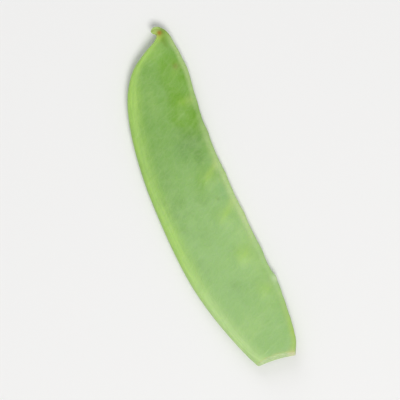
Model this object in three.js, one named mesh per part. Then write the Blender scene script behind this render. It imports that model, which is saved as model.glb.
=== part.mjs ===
// A snow pea pod (mangetout) lying on its flat side. Its stem end is cut straight across, and the
// stub of its withered style still hooks off the beak at the other end. It grew as one piece, so it
// is one solid: the flat body with its two rounded seams, the swellings over the seeds, the beak and
// the style stub. Millimetres: +X from the cut end to the beak, +Y from the front seam, which carries
// the seeds, to the back seam, and +Z up. Its origin is under the middle of it, on the surface.
import * as THREE from "three";

// The body
const LENGTH = 93.5; // from the cut end to the furthest point of the beak
const BODY_HALF = 1.7; // half the thickness of the flat body, away from the seeds
const FLAT_WIDTH = 5.4; // the pod thins towards a round section where it is narrower than this
const BODY_FULLNESS = 2.6; // how squarely the body fills out between its seams: 2 is a plain lens
const CAMBER = 1.3; // how far the two ends curve up off the surface
const TWIST = 0.35; // how far the back seam lifts at the beak, and the front seam at the cut end
const REST_PRESS = 0.3; // how far the underside is pressed flat where the pod lies on it

// The seams: the half thickness and rounding of each edge, and the hollow along the inside of it
const FRONT_SEAM = { half: 1.05, rounding: 0.5, hollowInset: 1.3, hollowDepth: 0.1, hollowSpread: 0.6 };
const BACK_SEAM = { half: 0.85, rounding: 1, hollowInset: 2.4, hollowDepth: 0.1, hollowSpread: 1 };
const SEAM_SPLIT = { depth: 0.25, spread: 0.3 }; // the groove that makes the front seam a double ridge
const SEAM_SCAR = { at: 20.6, height: 0.4, spread: 1.1 }; // a healed knock on the front seam
const SEAM_FADE = [5, 12]; // hollows and swellings fade out between these widths of the pod

// The swellings over the seeds: how far each is along the pod and in from the front seam, and how
// high it stands on the top face and on the underside
const SEEDS = [
  { at: 18.4, inset: 4.1, top: 0.35, under: 0.25 },
  { at: 28.8, inset: 5.2, top: 0.45, under: 0.3 },
  { at: 39.9, inset: 5.4, top: 0.45, under: 0.3 },
  { at: 51, inset: 5, top: 0.48, under: 0.3 },
  { at: 62.6, inset: 4, top: 0.3, under: 0.35 },
  { at: 71, inset: 4.3, top: 0.48, under: 0.25 },
  { at: 79.8, inset: 4.1, top: 0.25, under: 0.2 },
];
const SEED_LONG = 4.4; // how far a swelling spreads along the pod
const SEED_WIDE = 3.8; // and across it
const SEED_EDGE = { height: 0.2, spread: 1.8 }; // how a seed's stalk pushes out the front seam

// The cut end: the knife's slanting, slightly hollow face, and the slit between the pod's two walls
const CUT = { slant: 0.45, hollow: 0.65, reach: 3 };
const SLIT = { from: 0.16, to: 0.84, half: 0.17, depth: 1.1, narrowing: 0.6 };

// How finely the faces are laid out
const SECTIONS = 85;
const SIDES = 44;

// The outline from above, measured from the middle of the cut end. The points of the two seams pair
// off across the pod, and the last six pairs follow the beak round into the hooked style.
const frontSeam = seam([
  [-0.2, -5.1], [3.6, -6.6], [9.5, -7.1], [17.5, -7.1], [26, -6.1], [35, -5.2], [44, -4.2],
  [53, -3.4], [62, -2.8], [70.5, -2.8], [77.5, -3.3], [83.5, -3.1], [87.9, -2.4], [90.4, -1.9],
  [92.1, -1], [93.2, 0.2], [93.5, 1.3], [93.2, 2.1], [92.75, 2.5],
]);
const backSeam = seam([
  [0.1, 5.4], [4.2, 7.5], [10.6, 10.2], [18, 12.8], [26.2, 14.9], [35.2, 16.2], [44.6, 17],
  [54.2, 17.4], [63.8, 17], [72, 15.9], [79, 13.8], [84.4, 10.4], [87.8, 6], [89.5, 3],
  [90.6, 1.8], [91.2, 1.5], [91.5, 1.8], [91.8, 2.2], [92.25, 2.5],
]);

function seam(points) {
  return new THREE.SplineCurve(points.map(([x, y]) => new THREE.Vector2(x, y)));
}

function hump(distance, spread) {
  return Math.exp(-((distance / spread) ** 2));
}

// 0 on the seam itself, rising as a quarter of a circle to 1 at the inner side of its rounded edge.
function edgeRounding(inset, radius) {
  const short = 1 - Math.min(inset / radius, 1);
  return Math.sqrt(1 - short * short);
}

// How high the swellings over the seeds stand at one point of a face.
function seedSwelling(x, inset, face) {
  let height = 0;
  for (const seed of SEEDS) {
    const away = Math.hypot((x - seed.at) / SEED_LONG, (inset - seed.inset) / SEED_WIDE);
    const rise = face > 0 ? seed.top : seed.under;
    if (away < 1) height += rise * Math.cos((away * Math.PI) / 2) ** 2;
  }
  return height;
}

// How far the front seam stands out beyond its smooth outline.
function seamBulge(x) {
  let bulge = SEAM_SCAR.height * hump(x - SEAM_SCAR.at, SEAM_SCAR.spread);
  for (const seed of SEEDS) bulge += SEED_EDGE.height * hump(x - seed.at, SEED_EDGE.spread);
  return bulge;
}

// Half the thickness of the pod at one point of a section of the given width.
function halfThickness(x, inset, width, face) {
  const farInset = width - inset;
  const belly = BODY_HALF * Math.tanh(width / FLAT_WIDTH);
  const seamHalf = Math.min(belly, THREE.MathUtils.lerp(FRONT_SEAM.half, BACK_SEAM.half, inset / width));
  const fill = 1 - Math.abs((2 * inset) / width - 1) ** BODY_FULLNESS;
  const hollows =
    FRONT_SEAM.hollowDepth * hump(inset - FRONT_SEAM.hollowInset, FRONT_SEAM.hollowSpread) +
    BACK_SEAM.hollowDepth * hump(farInset - BACK_SEAM.hollowInset, BACK_SEAM.hollowSpread);
  const relief = seedSwelling(x, inset, face) - hollows;
  const edges =
    edgeRounding(inset, Math.min(FRONT_SEAM.rounding, width / 2)) *
    edgeRounding(farInset, Math.min(BACK_SEAM.rounding, width / 2));
  const body = THREE.MathUtils.lerp(seamHalf, belly, fill);
  return (body + relief * THREE.MathUtils.smoothstep(width, ...SEAM_FADE)) * edges;
}

// The height of the pod's middle surface: it curves up to both ends, and twists a little.
function middleHeight(x, across) {
  const along = (2 * x) / LENGTH - 1;
  return CAMBER * along * along + TWIST * along * (2 * across - 1);
}

// How far the cut moves a point near it along the pod, at a height above the middle surface.
function cutShift(x, across, height) {
  const hollow = CUT.hollow * (1 - (2 * across - 1) ** 2);
  return (CUT.slant * height + hollow) * hump(x, CUT.reach);
}

// How far across the pod each point of a ring lies, and on which face. A ring runs over the top from
// the front seam to the back one, and returns along the underside.
function ringPlaces() {
  return Array.from({ length: SIDES }, (_, side) => {
    const turn = (2 * Math.PI * side) / SIDES;
    return { across: (1 - Math.cos(turn)) / 2, face: side < SIDES / 2 ? 1 : -1, turn };
  });
}

// One section round the pod, at a share of the way along its outline.
function sectionRing(share) {
  const front = frontSeam.getPoint(share);
  const back = backSeam.getPoint(share);
  const width = front.distanceTo(back);
  const inwards = back.clone().sub(front).divideScalar(width);
  const splitDepth = SEAM_SPLIT.depth * Math.min(1, width / FLAT_WIDTH);
  return ringPlaces().map(({ across, face }) => {
    const inset = across * width;
    const half = halfThickness(front.x, inset, width, face);
    const nearSeam = hump(inset, FRONT_SEAM.rounding);
    const split = splitDepth * nearSeam * hump(half, SEAM_SPLIT.spread);
    const along = inset + split - seamBulge(front.x) * nearSeam;
    const x = front.x + inwards.x * along;
    const y = front.y + inwards.y * along;
    const shift = cutShift(x, across, face * half);
    return new THREE.Vector3(x + shift, y, middleHeight(x, across) + face * half);
  });
}

// A ring round the slit in the cut end, at a depth into the pod and a share of the slit's full size.
function slitRing(depth, size) {
  const front = frontSeam.getPoint(0);
  const back = backSeam.getPoint(0);
  const reach = ((SLIT.to - SLIT.from) / 2) * size;
  return ringPlaces().map(({ turn }) => {
    const across = (SLIT.from + SLIT.to) / 2 - reach * Math.cos(turn);
    const x = THREE.MathUtils.lerp(front.x, back.x, across);
    const y = THREE.MathUtils.lerp(front.y, back.y, across);
    const height = SLIT.half * size * Math.sin(turn);
    return new THREE.Vector3(x + cutShift(x, across, height) + depth, y, middleHeight(x, across) + height);
  });
}

// The strip of triangles that shuts a ring, whose first point is the start-th of the surface.
function shutRing(start, flip) {
  const faces = [];
  for (let i = 0; i < SIDES / 2; i++) {
    const corners = [i, i + 1, SIDES - i - 1, (SIDES - i) % SIDES].map((k) => start + k);
    if (flip) corners.reverse();
    const [a, b, c, d] = corners;
    if (new Set([a, b, c]).size === 3) faces.push(a, b, c);
    if (new Set([a, c, d]).size === 3) faces.push(a, c, d);
  }
  return faces;
}

// The closed surface through a list of rings, shut across the first and the last.
function loft(rings) {
  const faces = shutRing(0, false);
  for (let r = 0; r + 1 < rings.length; r++) {
    for (let i = 0; i < SIDES; i++) {
      const next = (i + 1) % SIDES;
      const [a, b] = [r * SIDES + i, r * SIDES + next];
      faces.push(a, a + SIDES, b + SIDES, a, b + SIDES, b);
    }
  }
  faces.push(...shutRing((rings.length - 1) * SIDES, true));
  const geometry = new THREE.BufferGeometry().setFromPoints(rings.flat());
  geometry.setIndex(faces);
  return geometry;
}

// Presses the lowest part of the underside flat, where the pod lies on the surface.
function pressFlat(rings) {
  const points = rings.flat();
  const flat = Math.min(...points.map((point) => point.z)) + REST_PRESS;
  for (const point of points) point.z = Math.max(point.z, flat);
}

function podGeometry() {
  const rings = [slitRing(SLIT.depth, SLIT.narrowing), slitRing(0, 1)];
  for (let s = 0; s <= SECTIONS; s++) rings.push(sectionRing(s / SECTIONS));
  pressFlat(rings);
  const geometry = loft(rings);
  geometry.computeBoundingBox();
  const { min, max } = geometry.boundingBox;
  geometry.translate(-(min.x + max.x) / 2, -(min.y + max.y) / 2, -min.z);
  geometry.computeVertexNormals();
  return geometry;
}

const podSkin = new THREE.MeshStandardMaterial({ color: 0x8ab35a, roughness: 0.55, metalness: 0 });
const pod = new THREE.Mesh(podGeometry(), podSkin);
pod.name = "pod";

const group = new THREE.Group();
group.add(pod);
export default group;
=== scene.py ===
"""A snow pea pod lying on a pale floor, seen from straight above.

The pod replaces its plain CAD solid with a finer surface from the same measures, in the same place. Masks
and the place of each point on the pod are stored on the mesh, and the materials read them.
"""
import math

import bpy
import numpy as np
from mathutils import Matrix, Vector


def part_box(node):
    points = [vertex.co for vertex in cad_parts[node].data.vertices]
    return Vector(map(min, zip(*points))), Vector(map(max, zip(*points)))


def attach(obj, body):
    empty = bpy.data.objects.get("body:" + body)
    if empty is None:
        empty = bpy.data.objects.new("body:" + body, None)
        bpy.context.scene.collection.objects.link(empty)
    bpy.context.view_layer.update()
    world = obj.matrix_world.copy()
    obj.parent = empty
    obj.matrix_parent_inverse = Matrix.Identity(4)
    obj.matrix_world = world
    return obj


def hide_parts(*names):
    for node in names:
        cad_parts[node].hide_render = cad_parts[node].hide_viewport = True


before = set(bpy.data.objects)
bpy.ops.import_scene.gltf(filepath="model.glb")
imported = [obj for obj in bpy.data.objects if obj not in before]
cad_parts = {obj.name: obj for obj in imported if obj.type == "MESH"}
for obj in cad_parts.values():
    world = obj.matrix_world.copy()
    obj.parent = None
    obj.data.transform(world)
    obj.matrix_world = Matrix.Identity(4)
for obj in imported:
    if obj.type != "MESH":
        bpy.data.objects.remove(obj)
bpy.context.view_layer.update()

# The measures from here to BACK_OUTLINE are the CAD solid's own, in millimetres: +X from the cut end to the
# beak, +Y from the front seam, which carries the seeds, to the back seam, +Z up.
LENGTH = 93.5
BODY_HALF = 1.7  # half the thickness of the flat body, away from the seeds
FLAT_WIDTH = 5.4  # the pod thins towards a round section where it is narrower than this
BODY_FULLNESS = 2.6  # how squarely the body fills out between its seams: 2 is a plain lens
CAMBER = 1.3  # how far the two ends curve up off the surface
TWIST = 0.35  # how far the back seam lifts at the beak, and the front seam at the cut end
REST_PRESS = 0.3  # how far the underside is pressed flat where the pod lies on it
# The seams: the half thickness and rounding of each edge, and the hollow along the inside of it
FRONT_SEAM = {"half": 1.05, "rounding": 0.5, "hollow_inset": 1.3, "hollow_depth": 0.1, "hollow_spread": 0.6}
BACK_SEAM = {"half": 0.85, "rounding": 1.0, "hollow_inset": 2.4, "hollow_depth": 0.1, "hollow_spread": 1}
SEAM_SPLIT = {"depth": 0.25, "spread": 0.3}  # the groove that makes the front seam a double ridge
SEAM_SCAR = {"at": 20.6, "height": 0.4, "spread": 1.1}  # a healed knock on the front seam
SEAM_FADE = (5, 12)  # hollows and swellings fade out between these widths of the pod
# The swellings over the seeds: how far each is along the pod and in from the front seam, and how high it
# stands on the top face and on the underside
SEEDS = (
    {"at": 18.4, "inset": 4.1, "top": 0.35, "under": 0.25},
    {"at": 28.8, "inset": 5.2, "top": 0.45, "under": 0.3},
    {"at": 39.9, "inset": 5.4, "top": 0.45, "under": 0.3},
    {"at": 51, "inset": 5, "top": 0.48, "under": 0.3},
    {"at": 62.6, "inset": 4, "top": 0.3, "under": 0.35},
    {"at": 71, "inset": 4.3, "top": 0.48, "under": 0.25},
    {"at": 79.8, "inset": 4.1, "top": 0.25, "under": 0.2},
)
SEED_LONG = 4.4  # how far a swelling spreads along the pod
SEED_WIDE = 3.8  # and across it
SEED_EDGE = {"height": 0.2, "spread": 1.8}  # how a seed's stalk pushes out the front seam
# The knife's slanting, slightly hollow face, and the slit between the pod's two walls
CUT = {"slant": 0.45, "hollow": 0.65, "reach": 3}
SLIT = {"from": 0.16, "to": 0.84, "half": 0.17, "depth": 1.1, "narrowing": 0.6}
# The outline from above. The points of the two seams pair off across the pod, and the last six pairs
# follow the beak round into the hooked style
FRONT_OUTLINE = np.array([
    [-0.2, -5.1], [3.6, -6.6], [9.5, -7.1], [17.5, -7.1], [26, -6.1], [35, -5.2], [44, -4.2],
    [53, -3.4], [62, -2.8], [70.5, -2.8], [77.5, -3.3], [83.5, -3.1], [87.9, -2.4], [90.4, -1.9],
    [92.1, -1], [93.2, 0.2], [93.5, 1.3], [93.2, 2.1], [92.75, 2.5],
])
BACK_OUTLINE = np.array([
    [0.1, 5.4], [4.2, 7.5], [10.6, 10.2], [18, 12.8], [26.2, 14.9], [35.2, 16.2], [44.6, 17],
    [54.2, 17.4], [63.8, 17], [72, 15.9], [79, 13.8], [84.4, 10.4], [87.8, 6], [89.5, 3],
    [90.6, 1.8], [91.2, 1.5], [91.5, 1.8], [91.8, 2.2], [92.25, 2.5],
])

PER_METRE = 1000  # millimetres

# The finer layout of the faces
SECTIONS = 500
SIDES = 176
EVEN_SPACING = 0.75  # how far the sections are spaced by length, rather than crowding at the beak
EDGE_CROWDING = 0.8  # how far the points of a section crowd towards its two seams
FACE_STEPS = 10  # rings across the cut face
SLIT_STEPS = 5  # and down into the slit
OUTLINE_STEPS = 2000  # how finely the outline is measured to space the sections
NOISE_GRID = 97  # how many cells the noise of the relief has before it repeats
UNDERSIDE_SHIFT = 40  # how much further along the pod the underside reads that noise

# The fine relief, in millimetres. What has a cell is noise, drawn from its own seed
SWELL = {"height": 0.09, "cell": 8, "seed": 1}  # slow waves in the wall
DIMPLE = {"height": 0.02, "cell": 2.2, "seed": 2}
STYLE_WRINKLES = {"height": 0.07, "cell": 0.45, "seed": 3}
SEAM_KNOBS = {"height": 0.05, "cell": 1.3, "seed": 4}  # along the front seam
CUT_FIBRES = {"height": 0.07, "cell": 0.5, "seed": 5}
LEAN = 0.6  # how far the veins lean along the pod, for each step across it
VEIN_HEIGHT = 0.035
VEIN_HALF = 0.36  # half the width of a main vein
VEINS = (
    {"seam": "front", "spacing": 3.4, "lean": -LEAN, "reach": 13, "seed": 11},
    {"seam": "back", "spacing": 4.1, "lean": LEAN, "reach": 10, "seed": 12},
)
VEIN_FULL = 0.3  # the share of its reach over which a vein is at full height
VEIN_WAVES = ({"width": 0.9, "cell": 5}, {"width": 0.35, "cell": 1.8})  # how the veins waver
VEIN_GAPS = {"depth": 0.35, "cell": 3.5, "seed_step": 20}  # how far the veins fade here and there
# The ridges that lead in from the front seam to the seeds
STALK = {"height": 0.07, "half_at_foot": 1.4, "half_at_tip": 0.8, "start": 0.6, "fade": 2.5}
# How plainly each seed's patch and stalk show, the stalk as a ridge and a painted highlight along it, and
# the line of the stalk: where along the pod it leaves the front seam, where it ends, and how far in that is
SEED_LOOKS = (
    {"patch": 0.35, "stalk": 0.25, "foot": 21.7, "tip": 16.8, "reach": 6},
    {"patch": 0.55, "stalk": 0.35, "foot": 33, "tip": 27.2, "reach": 7},
    {"patch": 0.5, "stalk": 0.8, "foot": 44.2, "tip": 38.3, "reach": 7.4},
    {"patch": 0.4, "stalk": 1, "foot": 55, "tip": 49.4, "reach": 7},
    {"patch": 0, "stalk": 0.1, "foot": 65.8, "tip": 61, "reach": 6},
    {"patch": 0.1, "stalk": 0.78, "foot": 72.2, "tip": 71.8, "reach": 6},
    {"patch": 0, "stalk": 0.3, "foot": 83.1, "tip": 78.2, "reach": 6},
)
SEED_PATCH_FULL = 0.8  # the share of a swelling's height at which its patch is at full strength
# The groove beside the front seam at the beak, and where along the pod it starts and is full
BEAK_GROOVE = {"depth": 0.08, "inset": 2.3, "spread": 0.55, "start": 85.5, "full": 88.5}
BEAK_START = (0.64, 0.75)  # the shares of the way along the outline between which the beak begins
STYLE_START = (0.785, 0.85)  # and the dry style

# The colours along the seams: how far in from its seam each starts and is full, in the body and at the
# beak, where along the pod it narrows from the one to the other, and how strong it is at places along it.
# The strip inside the front seam is not a colour of the pod's own but painted light.
RIMS = {
    "front_rim": {
        "seam": "front", "from": (2.6, 1.8), "full": (0.5, 0.5), "narrows": (62, 70),
        "strength": (
            (0, 0.2), (28, 0.15), (38, 0.75), (48, 0.6), (58, 0.5),
            (68, 0.22), (76, 0.5), (88, 0.6), (92, 0.1),
        ),
    },
    "back_rim": {
        "seam": "back", "from": (5.1, 3.8), "full": (1.2, 0.7), "narrows": (76, 82),
        "strength": ((0, 1), (40, 1), (54, 0.8), (68, 0.85), (75, 1.2), (82, 1.05)),
    },
    # Painted light: a paler strip inside the front seam, standing in for light on the slope there
    "painted_light_strip": {
        "seam": "front", "from": (6.5, 6.5), "full": (3, 3), "narrows": (62, 70),
        "strength": ((4, 0), (14, 0.5), (20, 0.8), (26, 0.9), (36, 0.6), (54, 0.6), (66, 0)),
    },
    "yellow_rim": {
        "seam": "front", "from": (2.2, 2.2), "full": (0.4, 0.4), "narrows": (62, 70),
        "strength": ((0, 0.8), (7, 1), (13, 0.4), (17, 0)),
    },
}

# Spots on the top face: their place and their radius
TOP_SPOTS = {
    "style_spot": (91.5, 0.5, 0.65),
    "beak_yellow": (90.6, 1, 0.8),
    "style_olive": (91.6, -0.2, 0.9),
    "pink_speck": (81.8, -0.6, 0.8),
    "dark_speck": (45.1, 0.5, 0.4),
    "scar": (20.4, -7, 1.1),
    "yellow_dot": (5.4, -6.7, 0.7),
}
DRY_CORNER = (0.2, -4.4, 1.2)  # the dried corner of the cut, by the front seam
CUT_EDGE = 0.4  # how far the skin is dry in from the cut

# Broad patches in the green of the top face: their place, how far they spread along and across, how much
# paler they are than the rest, and how much yellower. Below 0 they are deeper or bluer. Most are the pod's
# own tone, but some are painted light and shade on the seeds' swellings: the paler one at 49.5 along is
# painted light, and the deeper ones at 50, 56, 69.4 and 74.4 are painted shade. The one at 87 by the beak is
# yellower in its own tone and paler as painted light.
PATCHES = (
    (9, 7.5, 9, 4, 0.3, 0),
    (17, -2.5, 6, 3.5, 0.5, 0.35),
    (21, 4, 3.5, 4, -0.2, -0.3),
    (29.4, -1, 4, 3.2, 0.9, 0.35),
    (45, 12, 15, 4.5, -0.45, 0.2),
    (46.5, -1.3, 2.5, 1.6, -0.1, -0.9),
    (49.5, -1, 2.2, 1.2, 0.9, -0.4),
    (50, 3.2, 4, 2.6, -0.5, 0.5),
    (56, 1.6, 2, 1.5, -0.4, 0.2),
    (60, 4.5, 5, 5, -0.35, -0.5),
    (73, 0.6, 11, 4.2, -1.4, 1),
    (69.4, 2.6, 3.2, 2.4, -1.8, 1),
    (74.4, 0, 1.9, 2.2, -1, 1),
    (74, 8.5, 7, 3, 0.5, 0.1),
    (80.5, 1, 3.6, 2.8, -1.2, 0.9),
    (87, 5.2, 3.4, 4.3, 1.3, 0.6),
)

# The camera stands straight above, turned so that the pod's beak points up and a little left
CAMERA_TURN = math.radians(-109.5)
CAMERA_LENS = 200  # millimetres, as is the sensor
CAMERA_SENSOR = 36
CAMERA_NEAR = 0.01  # metres, as is the height of what the picture shows
FRAME_HEIGHT = 0.106

# The lights, placed by the picture's right and up, in metres, and aimed at the pod
LIGHTS = (
    {
        "name": "key", "right": 0.24, "up": -0.58, "height": 1.1,
        "size": 0.6, "watts": 10.2, "colour": (1, 0.99, 0.97),
    },
    {
        "name": "fill", "right": -0.3, "up": 0.9, "height": 0.6,
        "size": 0.75, "watts": 3.6, "colour": (0.98, 0.99, 1),
    },
)
WORLD_STRENGTH = 0.36
FLOOR_HALF = 1.5
FLOOR_DROP = 0.00005  # a hair below the pod, so that the two never share a plane


def spline(points, shares):
    """The smooth curve through the points, at those shares of the way along the list of them."""
    last = len(points) - 1
    place = np.clip(shares, 0, 1) * last
    index = np.minimum(np.floor(place).astype(int), last)
    t = (place - index)[:, None]
    before, start, end, after = (points[np.clip(index + k, 0, last)] for k in (-1, 0, 1, 2))
    leave = (end - before) / 2
    arrive = (after - start) / 2
    cubic = 2 * start - 2 * end + leave + arrive
    square = -3 * start + 3 * end - 2 * leave - arrive
    return ((cubic * t + square) * t + leave) * t + start


def hump(distance, spread):
    return np.exp(-((distance / spread) ** 2))


def smoothstep(value, low, high):
    t = np.clip((value - low) / (high - low), 0, 1)
    return t * t * (3 - 2 * t)


def mix(a, b, share):
    return a + (b - a) * share


def smooth_noise(x, y, cell, seed):
    """Noise from -1 to 1 that changes smoothly over cells of that size."""
    grid = np.random.default_rng(seed).uniform(-1, 1, (NOISE_GRID, NOISE_GRID))
    x, y = np.broadcast_arrays(x / cell, y / cell)
    column, row = np.floor(x).astype(int), np.floor(y).astype(int)
    right, up = smoothstep(x - column, 0, 1), smoothstep(y - row, 0, 1)
    corners = [grid[(column + i) % NOISE_GRID, (row + j) % NOISE_GRID] for j in (0, 1) for i in (0, 1)]
    return mix(mix(corners[0], corners[1], right), mix(corners[2], corners[3], right), up)


def noise_relief(kind, x, y):
    """How high one kind of fine relief stands at a point."""
    return kind["height"] * smooth_noise(x, y, kind["cell"], kind["seed"])


def edge_rounding(inset, rounding, width):
    """0 on the seam itself, rising as a quarter of a circle to 1 at the inner side of its rounded edge."""
    short = 1 - np.minimum(inset / np.minimum(rounding, width / 2), 1)
    return np.sqrt(1 - short * short)


def breadth(width):
    """0 where the pod is narrow, at its beak, rising to 1 where it is broad."""
    return smoothstep(width, *SEAM_FADE)


def seed_bump(seed, x, inset):
    """1 over the middle of a seed, falling to 0 at the edge of its swelling."""
    away = np.hypot((x - seed["at"]) / SEED_LONG, (inset - seed["inset"]) / SEED_WIDE)
    return np.cos(np.minimum(away, 1) * math.pi / 2) ** 2


def seed_swelling(x, inset, face):
    """How high the swellings over the seeds stand on a face."""
    height = 0
    for seed in SEEDS:
        height = height + np.where(face > 0, seed["top"], seed["under"]) * seed_bump(seed, x, inset)
    return height


def seed_patches(x, inset):
    """0 to 1: the yellow patches over the seeds."""
    strength = 0
    for seed, looks in zip(SEEDS, SEED_LOOKS):
        strength = strength + looks["patch"] * smoothstep(seed_bump(seed, x, inset), 0, SEED_PATCH_FULL)
    return strength


def seam_bulge(x):
    """How far the front seam stands out beyond its smooth outline."""
    bulge = SEAM_SCAR["height"] * hump(x - SEAM_SCAR["at"], SEAM_SCAR["spread"])
    for seed in SEEDS:
        bulge = bulge + SEED_EDGE["height"] * hump(x - seed["at"], SEED_EDGE["spread"])
    return bulge


def vein_strength(x, inset, far_inset):
    """0 to 1: the veins that leave each seam aslant, waver, and fade out across the wall."""
    strength = 0
    for family in VEINS:
        depth = inset if family["seam"] == "front" else far_inset
        waver = 0
        for wave in VEIN_WAVES:
            waver = waver + wave["width"] * smooth_noise(x, depth, wave["cell"], family["seed"])
        phase = (x - family["lean"] * depth + waver) / family["spacing"]
        distance = np.abs(phase - np.round(phase)) * family["spacing"]
        fade = smoothstep(depth, family["reach"], VEIN_FULL * family["reach"])
        gaps = smooth_noise(x, depth, VEIN_GAPS["cell"], family["seed"] + VEIN_GAPS["seed_step"])
        strength = strength + hump(distance, VEIN_HALF) * fade * (1 - VEIN_GAPS["depth"] * (1 - gaps))
    return np.clip(strength, 0, 1)


def stalk_strength(x, inset, face):
    """0 to 1: the leaning ridges that lead from the front seam to the seeds, and a little past them."""
    strength = 0
    for looks in SEED_LOOKS:
        share = np.clip(inset / looks["reach"], 0, 1)
        aside = x - mix(looks["foot"], looks["tip"], share)
        half = mix(STALK["half_at_foot"], STALK["half_at_tip"], share)
        length = smoothstep(inset, STALK["start"], 2 * STALK["start"])
        length = length * smoothstep(inset, looks["reach"], looks["reach"] - STALK["fade"])
        strength = strength + looks["stalk"] * hump(aside, half) * length
    return strength * (face > 0)


def rim_strength(x, depth, rim):
    """How strongly a colour along a seam shows, at a depth in from the seam."""
    near_beak = smoothstep(x, *rim["narrows"])
    start = mix(*rim["from"], near_beak)
    full = mix(*rim["full"], near_beak)
    places, strengths = zip(*rim["strength"])
    return smoothstep(depth, start, full) * np.interp(x, places, strengths)


def middle_height(x, across):
    """The height of the pod's middle surface: it curves up to both ends, and twists a little."""
    along = 2 * x / LENGTH - 1
    return CAMBER * along * along + TWIST * along * (2 * across - 1)


def cut_shift(x, across, height):
    """How far the cut moves a point near it along the pod, at a height above the middle surface."""
    hollow = CUT["hollow"] * (1 - (2 * across - 1) ** 2)
    return (CUT["slant"] * height + hollow) * hump(x, CUT["reach"])


def section_shares():
    """Where the sections lie along the outline: mostly even by length, and closer at the beak."""
    dense = np.linspace(0, 1, OUTLINE_STEPS)
    middle = (spline(FRONT_OUTLINE, dense) + spline(BACK_OUTLINE, dense)) / 2
    run = np.concatenate([[0], np.cumsum(np.hypot(*np.diff(middle, axis=0).T))])
    progress = mix(dense, run / run[-1], EVEN_SPACING)
    return np.interp(np.linspace(0, 1, SECTIONS + 1), progress, dense)


def ring_places():
    """How far across the pod each point of a ring lies, its face, and its turn round the ring."""
    turn = 2 * math.pi * np.arange(SIDES) / SIDES
    even = 1 - np.abs(1 - turn / math.pi)
    across = mix(even, (1 - np.cos(turn)) / 2, EDGE_CROWDING)
    face = np.where(np.arange(SIDES) < SIDES / 2, 1, -1)
    return across, face, turn


def body_masks(shares, station, inset, width, face):
    """What the relief and the materials need to know of each point of the sections."""
    far_inset = width - inset
    style = smoothstep(shares, *STYLE_START)[:, None]
    groove = hump(inset - BEAK_GROOVE["inset"], BEAK_GROOVE["spread"]) * (1 - style)
    masks = {
        "beak_groove": groove * smoothstep(station, BEAK_GROOVE["start"], BEAK_GROOVE["full"]),
        "inset": inset,
        "far_inset": far_inset,
        "seed": seed_patches(station, inset) * breadth(width),
        "vein": vein_strength(station, inset, far_inset) * breadth(width),
        "stalk": stalk_strength(station, inset, face) * breadth(width),
        "cut_edge": hump(station - station.min(), CUT_EDGE),
        "style": style,
        "beak": smoothstep(shares, *BEAK_START)[:, None],
        "top": face > 0,
    }
    for name, rim in RIMS.items():
        masks[name] = rim_strength(station, inset if rim["seam"] == "front" else far_inset, rim)
    return masks


def plain_half(station, across, width, face):
    """Half the thickness of the CAD solid, before its edges are rounded."""
    inset = across * width
    far_inset = width - inset
    belly = BODY_HALF * np.tanh(width / FLAT_WIDTH)
    seam_half = np.minimum(belly, mix(FRONT_SEAM["half"], BACK_SEAM["half"], across))
    fill = 1 - np.abs(2 * across - 1) ** BODY_FULLNESS
    hollows = (
        FRONT_SEAM["hollow_depth"] * hump(inset - FRONT_SEAM["hollow_inset"], FRONT_SEAM["hollow_spread"])
        + BACK_SEAM["hollow_depth"] * hump(far_inset - BACK_SEAM["hollow_inset"], BACK_SEAM["hollow_spread"])
    )
    return mix(seam_half, belly, fill) + (seed_swelling(station, inset, face) - hollows) * breadth(width)


def fine_relief(station, inset, width, face, masks):
    """How far the surface stands out beyond the CAD solid's."""
    place = station + UNDERSIDE_SHIFT * (face < 0)
    return (
        noise_relief(SWELL, place, inset) * breadth(width)
        + noise_relief(DIMPLE, place, inset) * breadth(width)
        + VEIN_HEIGHT * masks["vein"]
        + STALK["height"] * masks["stalk"]
        - BEAK_GROOVE["depth"] * masks["beak_groove"]
        + noise_relief(STYLE_WRINKLES, place, 2 * inset) * masks["style"]
    )


def seam_shift(station, inset, width, half):
    """How far in from its smooth outline the front seam is moved, by its groove less its bulges."""
    split = SEAM_SPLIT["depth"] * np.minimum(1, width / FLAT_WIDTH) * hump(half, SEAM_SPLIT["spread"])
    knobs = noise_relief(SEAM_KNOBS, station, 0) * breadth(width)
    return (split - seam_bulge(station) - knobs) * hump(inset, FRONT_SEAM["rounding"])


def body_rings():
    """The sections round the pod, and the masks at each of their points."""
    shares = section_shares()
    across, face, _ = ring_places()
    front = spline(FRONT_OUTLINE, shares)
    back = spline(BACK_OUTLINE, shares)
    width = np.hypot(*(back - front).T)[:, None]
    inwards = (back - front) / width
    station = front[:, :1]
    inset = across * width

    masks = body_masks(shares, station, inset, width, face)
    half = plain_half(station, across, width, face) + fine_relief(station, inset, width, face, masks)
    half = half * edge_rounding(inset, FRONT_SEAM["rounding"], width)
    half = half * edge_rounding(width - inset, BACK_SEAM["rounding"], width)
    along = inset + seam_shift(station, inset, width, half)
    x = station + inwards[:, :1] * along
    y = front[:, 1:] + inwards[:, 1:] * along
    x = x + cut_shift(x, across, face * half)
    z = middle_height(x, across) + face * half
    masks = {name: np.broadcast_to(values, x.shape) for name, values in masks.items()}
    return np.stack([x, y, z], axis=-1), {"along": x, **masks}


def slit_ring(depth, size):
    """A ring round the slit in the cut end, at a depth into the pod and a share of the slit's full size."""
    across, _, turn = ring_places()
    middle = (SLIT["from"] + SLIT["to"]) / 2
    place = middle + (SLIT["to"] - SLIT["from"]) * (across - 0.5) * size
    start, end = FRONT_OUTLINE[0], BACK_OUTLINE[0]
    x = mix(start[0], end[0], place)
    y = mix(start[1], end[1], place)
    height = SLIT["half"] * size * np.sin(turn)
    return np.stack([x + cut_shift(x, place, height) + depth, y, middle_height(x, place) + height], axis=-1)


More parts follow.
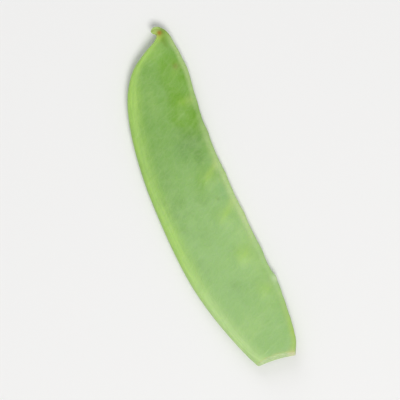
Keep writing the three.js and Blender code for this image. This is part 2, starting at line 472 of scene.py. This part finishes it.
def cut_rings(skin_ring):
    """The rings from the bottom of the slit, out across the cut face, up to but not including the skin."""
    down = np.linspace(1, 0, SLIT_STEPS)
    slit = [slit_ring(SLIT["depth"] * share, mix(1, SLIT["narrowing"], share)) for share in down]
    face = []
    for step in range(1, FACE_STEPS):
        ring = mix(slit[-1], skin_ring, step / FACE_STEPS)
        fibres = noise_relief(CUT_FIBRES, ring[:, 1], ring[:, 2])
        ring[:, 0] -= fibres * math.sin(math.pi * step / FACE_STEPS)
        face.append(ring)
    return np.array(slit + face)


def shut_ring(start, flip):
    """The strip of faces across a ring, whose first point is the start-th of the mesh."""
    faces = []
    for i in range(SIDES // 2):
        corners = [i, i + 1, SIDES - i - 1, (SIDES - i) % SIDES]
        corners = [start + corner for corner in dict.fromkeys(corners)]
        faces.append(corners[::-1] if flip else corners)
    return faces


def loft_faces(count):
    """The faces between rings in a row, and across the first and the last."""
    ring = np.arange(SIDES)
    following = (ring + 1) % SIDES
    start = SIDES * np.arange(count - 1)[:, None]
    here, beside = start + ring, start + following
    quads = np.stack([here, here + SIDES, beside + SIDES, beside], axis=-1)
    return [*quads.reshape(-1, 4).tolist(), *shut_ring(0, False), *shut_ring((count - 1) * SIDES, True)]


def spot(points, place, faces):
    """1 at a spot, falling to 0 round it, on the faces that are marked with 1."""
    x, y, radius = place
    return hump(np.hypot(points[..., 0] - x, points[..., 1] - y), radius) * faces


def patches(points, faces):
    """How much paler and how much yellower than the rest each point is."""
    pale, yellow = 0, 0
    for x, y, long, wide, paler, yellower in PATCHES:
        share = hump(np.hypot((points[..., 0] - x) / long, (points[..., 1] - y) / wide), 1) * faces
        pale = pale + paler * share
        yellow = yellow + yellower * share
    return pale, yellow


def set_in_place(points, low, high):
    """The points in metres, in one list, moved to where the CAD solid's box is."""
    points = points.reshape(-1, 3)
    lowest, highest = points.min(axis=0), points.max(axis=0)
    points = points - [(lowest[0] + highest[0]) / 2, (lowest[1] + highest[1]) / 2, lowest[2]]
    return points / PER_METRE + [(low[0] + high[0]) / 2, (low[1] + high[1]) / 2, low[2]]


def set_flesh_apart(mesh, rim, slit_bottom):
    """Gives the faces of the cut their own material, and makes the rim between them and the skin sharp.

    The rim is the number of its first point, and of the first face outside it. The other number is that of
    the first face across the bottom of the slit.
    """
    is_flesh = np.zeros(len(mesh.polygons), dtype=np.int32)
    is_flesh[:rim] = 1
    is_flesh[slit_bottom:slit_bottom + SIDES // 2] = 1
    mesh.polygons.foreach_set("material_index", is_flesh)
    ends = np.empty(2 * len(mesh.edges), dtype=np.int32)
    mesh.edges.foreach_get("vertices", ends)
    ends = ends.reshape(-1, 2)
    sharp = mesh.attributes.new("sharp_edge", "BOOLEAN", "EDGE")
    sharp.data.foreach_set("value", ((ends >= rim) & (ends < rim + SIDES)).all(axis=1))


def make_pod(low, high):
    """The pod as one mesh in metres, set where its CAD solid is, with its masks as attributes."""
    body, masks = body_rings()
    cut = cut_rings(body[0])
    points = np.concatenate([cut, body])
    points[..., 2] = np.maximum(points[..., 2], points[..., 2].min() + REST_PRESS)

    blank = np.zeros(cut.shape[:2])
    masks = {name: np.concatenate([blank, values]) for name, values in masks.items()}
    masks["flesh"] = np.zeros(points.shape[:2])
    masks["flesh"][:len(cut)] = np.linspace(0, 1, len(cut))[:, None]
    for name, place in TOP_SPOTS.items():
        masks[name] = spot(points, place, masks["top"])
    masks["dry"] = spot(points, DRY_CORNER, 1)
    masks["pale"], masks["yellow"] = patches(points, masks["top"])

    mesh = bpy.data.meshes.new("pod_surface")
    mesh.from_pydata(set_in_place(points, low, high).tolist(), [], loft_faces(len(points)))
    for name, values in masks.items():
        layer = mesh.attributes.new(name, "FLOAT", "POINT")
        layer.data.foreach_set("value", values.astype(np.float32).ravel())
    mesh.shade_smooth()
    set_flesh_apart(mesh, len(cut) * SIDES, (len(points) - 1) * SIDES)
    mesh.update()
    pod = bpy.data.objects.new("pod_body", mesh)
    bpy.context.collection.objects.link(pod)
    return pod


def linear(red, green, blue):
    """A colour for a shader, from its 0 to 255 screen values, by the sRGB curve."""
    values = (level / 255 for level in (red, green, blue))
    return (*(v / 12.92 if v <= 0.04045 else ((v + 0.055) / 1.055) ** 2.4 for v in values), 1)


class Nodes:
    """Short ways to add nodes to one material."""

    def __init__(self, name):
        self.material = bpy.data.materials.new(name)
        self.material.use_nodes = True
        self.tree = self.material.node_tree
        self.shader = next(node for node in self.tree.nodes if node.type == "BSDF_PRINCIPLED")

    def plug(self, value, socket):
        if isinstance(value, bpy.types.NodeSocket):
            self.tree.links.new(value, socket)
        else:
            socket.default_value = value

    def mask(self, name):
        node = self.tree.nodes.new("ShaderNodeAttribute")
        node.attribute_name = name
        return node.outputs["Fac"]

    def math(self, operation, a, b):
        node = self.tree.nodes.new("ShaderNodeMath")
        node.operation = operation
        self.plug(a, node.inputs[0])
        self.plug(b, node.inputs[1])
        return node.outputs[0]

    def total(self, *parts):
        """The sum of the values, each counted by its own share."""
        whole, *rest = (self.math("MULTIPLY", value, share) for value, share in parts)
        for part in rest:
            whole = self.math("ADD", whole, part)
        return whole

    def span(self, value, low, high, to_low=0.0, to_high=1.0):
        """The value moved from one range to another, smoothly, and kept inside it."""
        node = self.tree.nodes.new("ShaderNodeMapRange")
        node.interpolation_type = "SMOOTHSTEP"
        self.plug(value, node.inputs["Value"])
        ends = {"From Min": low, "From Max": high, "To Min": to_low, "To Max": to_high}
        for socket, number in ends.items():
            node.inputs[socket].default_value = number
        return node.outputs["Result"]

    def blend(self, share, a, b):
        node = self.tree.nodes.new("ShaderNodeMix")
        node.data_type = "RGBA"
        self.plug(share, node.inputs["Factor"])
        self.plug(a, node.inputs["A"])
        self.plug(b, node.inputs["B"])
        return node.outputs[2]

    def tint(self, colour, mask, share, tint):
        """The colour, turned towards the tint where the mask says."""
        return self.blend(self.math("MULTIPLY", self.mask(mask), share), colour, tint)

    def place(self, x, y, z=0.0):
        node = self.tree.nodes.new("ShaderNodeCombineXYZ")
        for socket, value in zip(node.inputs, (x, y, z)):
            self.plug(value, socket)
        return node.outputs[0]

    def moved(self, place, by):
        node = self.tree.nodes.new("ShaderNodeVectorMath")
        node.operation = "ADD"
        self.plug(place, node.inputs[0])
        self.plug(by, node.inputs[1])
        return node.outputs[0]

    def noise(self, place, scale, detail=2.0, rough=0.5):
        node = self.tree.nodes.new("ShaderNodeTexNoise")
        self.plug(place, node.inputs["Vector"])
        node.inputs["Scale"].default_value = scale
        node.inputs["Detail"].default_value = detail
        node.inputs["Roughness"].default_value = rough
        return node.outputs["Fac"]

    def cell_edges(self, place, scale):
        node = self.tree.nodes.new("ShaderNodeTexVoronoi")
        node.feature = "DISTANCE_TO_EDGE"
        self.plug(place, node.inputs["Vector"])
        node.inputs["Scale"].default_value = scale
        return node.outputs["Distance"]

    def bump(self, height, distance, normal=None):
        node = self.tree.nodes.new("ShaderNodeBump")
        node.inputs["Distance"].default_value = distance
        self.plug(height, node.inputs["Height"])
        if normal is not None:
            self.plug(normal, node.inputs["Normal"])
        return node.outputs["Normal"]

    def scatter(self, weight, radius):
        """Lets light spread under the surface."""
        self.shader.inputs["Subsurface Weight"].default_value = weight
        self.shader.inputs["Subsurface Radius"].default_value = radius
        self.shader.inputs["Subsurface Scale"].default_value = SCATTER_SCALE


# The colours
BODY_AT_BEAK = linear(123, 170, 75)
BODY_AT_CUT = linear(150, 191, 115)
LIGHTER = linear(186, 218, 132)
DEEPER = linear(92, 136, 52)
YELLOWER = linear(124, 179, 26)
BLUER = linear(124, 172, 124)
BLOOM_GREY = linear(176, 206, 156)
VEIN_PALE = linear(180, 212, 130)
SEED_YELLOW = linear(176, 212, 84)
# The painted highlight along the seeds' stalks, pale by the front seam and yellower further in
STALK_HIGHLIGHT_PALE = linear(202, 218, 128)
STALK_HIGHLIGHT_YELLOW = linear(178, 214, 84)
BACK_RIM_AT_BEAK = linear(176, 215, 107)
BACK_RIM_AT_CUT = linear(191, 221, 148)
FRONT_RIM = linear(196, 216, 150)
BEAK_GREEN = linear(137, 173, 60)
GROOVE_OLIVE = linear(112, 142, 30)
BEAK_YELLOW = linear(176, 190, 60)
STYLE_CREAM = linear(176, 206, 112)
STYLE_TAN = linear(154, 168, 76)
STYLE_ORANGE = linear(168, 112, 22)
SPECK_PINK = linear(142, 130, 66)
SPECK_DARK = linear(112, 138, 72)
SCAR_PALE = linear(198, 220, 176)
SEAM_YELLOW = linear(166, 196, 72)
DRY_PINK = linear(224, 204, 168)
EDGE_DRY = linear(200, 200, 140)
FLESH_PALE = linear(198, 218, 162)
FLESH_WET = linear(172, 202, 134)
PAPER = linear(240, 240, 240)

# The small marks on the skin, in the order they are laid: their masks, how plainly they show, their colours
SKIN_MARKS = (
    ("beak_yellow", 0.5, BEAK_YELLOW),
    ("style_olive", 0.75, GROOVE_OLIVE),
    ("style_spot", 0.9, STYLE_ORANGE),
    ("pink_speck", 0.45, SPECK_PINK),
    ("dark_speck", 0.4, SPECK_DARK),
    ("scar", 0.8, SCAR_PALE),
    ("yellow_rim", 0.55, SEAM_YELLOW),
    ("yellow_dot", 0.5, SEAM_YELLOW),
    ("dry", 0.35, DRY_PINK),
)
PALE_MIDDLE = 0.93  # the sum of the mottling at which the green is neither paler nor deeper
FACE_GAP = 50.0  # how far apart the two faces lie in the skin's noises
SCATTER_SCALE = 0.0012  # how far light spreads in the wall, in metres
# How high the bumps in the materials stand, in metres
NET_BUMP = 0.00002
GRAIN_BUMP = 0.00002
PORE_BUMP = 0.00004
FLESH_BUMP = 0.00008


def skin_noises(skin):
    """The noises that the skin's colour, shine and bumps share."""
    along, inset, far_inset = skin.mask("along"), skin.mask("inset"), skin.mask("far_inset")
    face = skin.math("MULTIPLY", skin.mask("top"), FACE_GAP)
    place = skin.place(along, inset, face)
    # The grain of the wall leans as its veins do, and the fibres run along the back seam
    leaning = skin.math("ADD", along, skin.math("MULTIPLY", inset, LEAN))
    across_stretched = skin.place(leaning, skin.math("MULTIPLY", inset, 0.16), face)
    along_stretched = skin.place(skin.math("MULTIPLY", along, 0.12), far_inset, face)
    # The fine net of veins is the edges of wavering cells
    cells = skin.place(leaning, skin.math("MULTIPLY", inset, 0.5), face)
    wavering = skin.moved(cells, skin.place(skin.noise(place, 0.5), skin.noise(place, 0.7)))
    return {
        "grain": skin.noise(across_stretched, 0.9, detail=3.0, rough=0.6),
        "fibres": skin.noise(along_stretched, 1.6),
        "blotches": skin.noise(place, 0.14, detail=3.0, rough=0.55),
        "flecks": skin.noise(place, 1.3, detail=3.0, rough=0.6),
        "bloom": skin.noise(place, 0.3, detail=4.0, rough=0.6),
        "dried": skin.noise(place, 1.4, detail=3.0, rough=0.6),
        "pores": skin.noise(place, 5.5, detail=3.0, rough=0.7),
        "net": skin.span(skin.cell_edges(wavering, 0.85), 0.0, 0.2, 1.0, 0.0),
    }


def wall_colour(skin, noise):
    """The mottled green of the wall, under its waxy bloom, with painted light and shade laid into it."""
    # Paler from the beak towards the cut end: partly the pod's own tone and partly a painted haze of light
    colour = skin.blend(skin.span(skin.mask("along"), 70, 34), BODY_AT_BEAK, BODY_AT_CUT)
    mottling = skin.total((noise["blotches"], 1.3), (noise["grain"], 0.25), (noise["flecks"], 0.3))
    # The placed paleness: patches that are partly painted light and shade, and the painted light strip
    # inside the front seam
    placed = skin.total((skin.mask("pale"), 0.55), (skin.mask("painted_light_strip"), 0.2))
    pale = skin.math("ADD", placed, skin.math("SUBTRACT", mottling, PALE_MIDDLE))
    colour = skin.blend(skin.span(pale, 0.0, 0.8, 0.0, 0.45), colour, LIGHTER)
    colour = skin.blend(skin.span(pale, 0.0, -0.8, 0.0, 0.6), colour, DEEPER)
    colour = skin.blend(skin.span(skin.mask("yellow"), 0.0, 1.0, 0.0, 0.55), colour, YELLOWER)
    colour = skin.blend(skin.span(skin.mask("yellow"), 0.0, -1.0, 0.0, 0.25), colour, BLUER)
    return skin.blend(skin.span(noise["bloom"], 0.4, 0.75, 0.0, 0.16), colour, BLOOM_GREY)


def add_veins_and_seeds(skin, noise, colour):
    """The colour, with the veins, the patches over the seeds, and a painted highlight along the seeds'
    stalks.
    """
    colour = skin.blend(skin.math("MULTIPLY", noise["net"], 0.07), colour, VEIN_PALE)
    colour = skin.tint(colour, "vein", 0.16, VEIN_PALE)
    colour = skin.tint(colour, "seed", skin.span(noise["grain"], 0.3, 0.7, 0.1, 0.34), SEED_YELLOW)
    # A painted highlight along each stalk's ridge
    stalk = skin.blend(skin.span(skin.mask("inset"), 1.5, 4.0), STALK_HIGHLIGHT_PALE, STALK_HIGHLIGHT_YELLOW)
    return skin.tint(colour, "stalk", 0.35, stalk)


def add_beak_and_seams(skin, noise, colour):
    """The colour, with the beak, the seams, the withered style and the dry edge of the cut."""
    colour = skin.tint(colour, "beak", 0.95, BEAK_GREEN)
    colour = skin.tint(colour, "beak_groove", 0.4, GROOVE_OLIVE)
    back_rim = skin.blend(skin.span(skin.mask("along"), 38, 12), BACK_RIM_AT_BEAK, BACK_RIM_AT_CUT)
    colour = skin.tint(colour, "back_rim", skin.span(noise["fibres"], 0.3, 0.7, 0.5, 0.85), back_rim)
    colour = skin.tint(colour, "front_rim", skin.span(noise["flecks"], 0.35, 0.65, 0.8, 1.0), FRONT_RIM)
    style = skin.blend(skin.span(noise["dried"], 0.4, 0.64, 0.0, 0.8), STYLE_CREAM, STYLE_TAN)
    colour = skin.blend(skin.mask("style"), colour, style)
    return skin.tint(colour, "cut_edge", skin.span(noise["flecks"], 0.35, 0.65, 0.1, 0.75), EDGE_DRY)


def skin_material():
    """Fresh pod skin: mottled green, with its veins, seams, seed patches and small marks."""
    skin = Nodes("pod_skin")
    noise = skin_noises(skin)
    colour = wall_colour(skin, noise)
    colour = add_veins_and_seeds(skin, noise, colour)
    colour = add_beak_and_seams(skin, noise, colour)
    for mask, share, tint in SKIN_MARKS:
        colour = skin.tint(colour, mask, share, tint)
    skin.plug(colour, skin.shader.inputs["Base Color"])
    skin.plug(skin.span(noise["bloom"], 0.3, 0.7, 0.38, 0.54), skin.shader.inputs["Roughness"])
    surface = skin.bump(noise["net"], NET_BUMP)
    surface = skin.bump(noise["grain"], GRAIN_BUMP, surface)
    surface = skin.bump(noise["pores"], PORE_BUMP, surface)
    skin.plug(surface, skin.shader.inputs["Normal"])
    skin.shader.inputs["Specular IOR Level"].default_value = 0.45
    skin.scatter(0.3, (0.7, 1.0, 0.3))
    return skin.material


def flesh_material():
    """The cut face: pale wet wall, greener just under the skin, and dried at the front seam's corner."""
    flesh = Nodes("cut_flesh")
    place = flesh.tree.nodes.new("ShaderNodeNewGeometry").outputs["Position"]
    grain = flesh.noise(place, 1800, detail=3.0, rough=0.6)
    colour = flesh.blend(flesh.span(grain, 0.35, 0.65), FLESH_WET, FLESH_PALE)
    near_skin = flesh.span(flesh.mask("flesh"), 0.85, 1.0, 0.0, 0.7)
    colour = flesh.blend(near_skin, colour, BODY_AT_CUT)
    colour = flesh.tint(colour, "dry", 0.5, DRY_PINK)
    flesh.plug(colour, flesh.shader.inputs["Base Color"])
    flesh.plug(flesh.span(grain, 0.3, 0.7, 0.38, 0.6), flesh.shader.inputs["Roughness"])
    flesh.plug(flesh.bump(grain, FLESH_BUMP), flesh.shader.inputs["Normal"])
    flesh.scatter(0.4, (0.9, 1.0, 0.5))
    return flesh.material


def make_floor():
    """A wide pale sheet under the pod."""
    mesh = bpy.data.meshes.new("floor")
    turns = ((-1, -1), (1, -1), (1, 1), (-1, 1))
    corners = [(FLOOR_HALF * x, FLOOR_HALF * y, -FLOOR_DROP) for x, y in turns]
    mesh.from_pydata(corners, [], [(0, 1, 2, 3)])
    floor = bpy.data.objects.new("floor", mesh)
    bpy.context.collection.objects.link(floor)
    paper = Nodes("floor_paper")
    paper.shader.inputs["Base Color"].default_value = PAPER
    paper.shader.inputs["Roughness"].default_value = 0.8
    mesh.materials.append(paper.material)


def make_camera(centre):
    data = bpy.data.cameras.new("camera")
    data.lens = CAMERA_LENS
    data.sensor_width = CAMERA_SENSOR
    data.clip_start = CAMERA_NEAR
    camera = bpy.data.objects.new("camera", data)
    distance = FRAME_HEIGHT * CAMERA_LENS / CAMERA_SENSOR
    camera.location = (centre[0], centre[1], distance)
    camera.rotation_euler = (0, 0, CAMERA_TURN)
    bpy.context.collection.objects.link(camera)
    bpy.context.scene.camera = camera


def make_light(name, right, up, height, size, watts, colour):
    """A square soft light, aimed at the pod."""
    data = bpy.data.lights.new(name, "AREA")
    data.size = size
    data.energy = watts
    data.color = colour
    light = bpy.data.objects.new(name, data)
    cos, sin = math.cos(CAMERA_TURN), math.sin(CAMERA_TURN)
    light.location = (right * cos - up * sin, right * sin + up * cos, height)
    light.rotation_euler = (-light.location).to_track_quat("-Z", "Y").to_euler()
    bpy.context.collection.objects.link(light)


def make_world():
    world = bpy.data.worlds.new("studio")
    world.use_nodes = True
    background = world.node_tree.nodes["Background"]
    background.inputs["Color"].default_value = (1, 1, 1, 1)
    background.inputs["Strength"].default_value = WORLD_STRENGTH
    bpy.context.scene.world = world


low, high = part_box("pod")
pod = make_pod(low, high)
pod.data.materials.append(skin_material())
pod.data.materials.append(flesh_material())
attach(pod, "root")
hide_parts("pod")

make_floor()
make_camera([(low[i] + high[i]) / 2 for i in range(3)])
for light in LIGHTS:
    make_light(**light)
make_world()
bpy.context.scene.view_settings.view_transform = "Standard"
